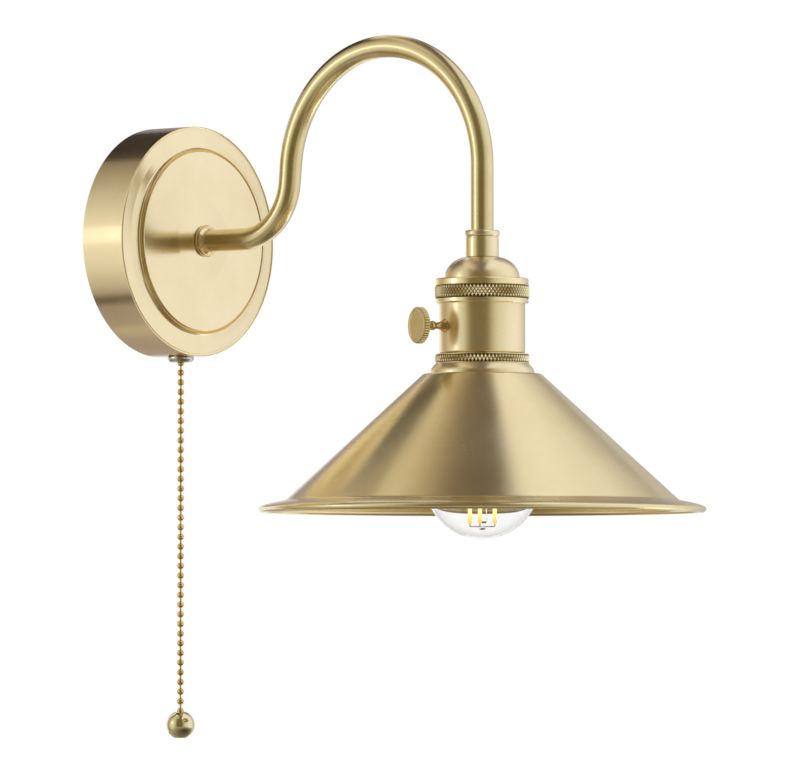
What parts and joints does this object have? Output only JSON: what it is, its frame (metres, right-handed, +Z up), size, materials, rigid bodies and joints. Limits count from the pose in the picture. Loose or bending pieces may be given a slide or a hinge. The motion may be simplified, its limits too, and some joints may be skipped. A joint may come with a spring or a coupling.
{
  "type": "wall lamp",
  "caption": "Swan-neck wall light: round wall plate, bent tube arm, key-switch lampholder, cone shade, clear bulb and a ball-chain pull switch.",
  "frame": {"origin": "centre of the round wall plate's back, on the wall plane", "axes": "+Y into the wall, -Y out of the wall along the arm, +Z up, +X to the right for a person who faces the wall"},
  "size_m": [0.22, 0.3219, 0.3509],
  "materials": {
    "brass_satin": "satin",
    "brass_shade": "satin",
    "brass_polished": "polished",
    "brass_contacts": "plain",
    "zinc_steel": "zinc plated",
    "nickel": "nickel plated",
    "porcelain": "glazed",
    "black_plastic": "moulded",
    "cable_sheath": "matte",
    "brown_core": "matte",
    "blue_core": "matte",
    "green_core": "matte",
    "clear_glass": "clear",
    "filament": "glowing"
  },
  "bodies": {
    "fixture": {"wall_bracket": "zinc_steel", "wall_plate": "brass_satin", "plate_screw": "brass_satin", "plate_lug": "zinc_steel", "earth_screw": "brass_contacts", "earth_washer": "nickel", "terminal_block": "porcelain", "terminal_barrels": "brass_contacts", "terminal_screws": "zinc_steel", "block_screws": "zinc_steel", "arm": "brass_satin", "wall_collar": "brass_satin", "wall_nipple": "zinc_steel", "wall_nut": "zinc_steel", "wall_washer": "zinc_steel", "inner_cable": "cable_sheath", "live_core": "brown_core", "neutral_core": "blue_core", "earth_core": "green_core", "switch_core": "brown_core", "arm_ferrule": "brass_satin", "holder_nipple": "zinc_steel", "holder_nut": "zinc_steel", "holder_dome": "brass_satin", "cap_ring": "brass_satin", "holder_body": "brass_satin", "switch_block": "porcelain", "block_terminals": "brass_contacts", "holder_cores": "brown_core", "socket_liner": "porcelain", "screw_shell": "brass_contacts", "centre_contact": "brass_contacts", "shade_ring": "brass_satin", "shade_collar": "brass_satin", "shade": "brass_shade", "shade_nut": "black_plastic", "switch_case": "black_plastic", "switch_cover": "black_plastic", "switch_blades": "brass_contacts", "switch_bush": "brass_contacts", "bush_nut": "zinc_steel", "bell_nut": "nickel"},
    "bulb_thread": {"bulb_contact": "nickel"},
    "bulb": {"bulb_glass": "clear_glass", "bulb_cap": "nickel", "bulb_insulator": "black_plastic", "bulb_stem": "clear_glass", "bulb_filaments": "filament", "bulb_wires": "zinc_steel"},
    "key": {"key_shaft": "brass_polished", "key_head": "brass_polished"},
    "pull": {"pull_slider": "black_plastic", "return_spring": "zinc_steel", "chain_inner": "brass_polished"},
    "chain_swivel": {"chain_swivel_bead": "brass_polished"},
    "chain_top": {"chain_upper": "brass_polished"},
    "chain_bend": {"chain_middle_bead": "brass_polished"},
    "chain_end": {"chain_lower": "brass_polished", "pull_ball": "brass_polished"}
  },
  "joints": [
    {"name": "bulb_lower", "type": "slide", "parent": "fixture", "child": "bulb_thread", "axis": [0, 0, -1], "range_m": [0, 0.02177]},
    {"name": "bulb_turn", "type": "hinge", "parent": "bulb_thread", "child": "bulb", "pos_m": [0, -0.21189, -0.0811], "axis": [0, 0, -1], "range_deg": [0, 2160]},
    {"name": "key_turn", "type": "hinge", "parent": "fixture", "child": "key", "pos_m": [0, -0.21189, -0.0486], "axis": [-0.9272, 0.3746, 0], "continuous": true},
    {"name": "chain_pull", "type": "slide", "parent": "fixture", "child": "pull", "axis": [0, 0, -1], "range_m": [0, 0.008], "stiffness_N_per_m": 600, "springref_m": -0.003, "deforming": ["return_spring"]},
    {"name": "chain_swing_out", "type": "hinge", "parent": "pull", "child": "chain_swivel", "pos_m": [0, -0.0144, -0.06165], "axis": [-1, 0, 0], "range_deg": [-2, 40]},
    {"name": "chain_swing_side", "type": "hinge", "parent": "chain_swivel", "child": "chain_top", "pos_m": [0, -0.0144, -0.06165], "axis": [0, 1, 0], "range_deg": [-40, 40]},
    {"name": "chain_bend_out", "type": "hinge", "parent": "chain_top", "child": "chain_bend", "pos_m": [0, -0.0144, -0.15513], "axis": [-1, 0, 0], "range_deg": [-3, 60]},
    {"name": "chain_bend_side", "type": "hinge", "parent": "chain_bend", "child": "chain_end", "pos_m": [0, -0.0144, -0.15513], "axis": [0, 1, 0], "range_deg": [-60, 60]}
  ],
  "couplings": [
    {"joint": "bulb_turn", "follows": "bulb_lower", "rad_per_m": 1731.4}
  ]
}
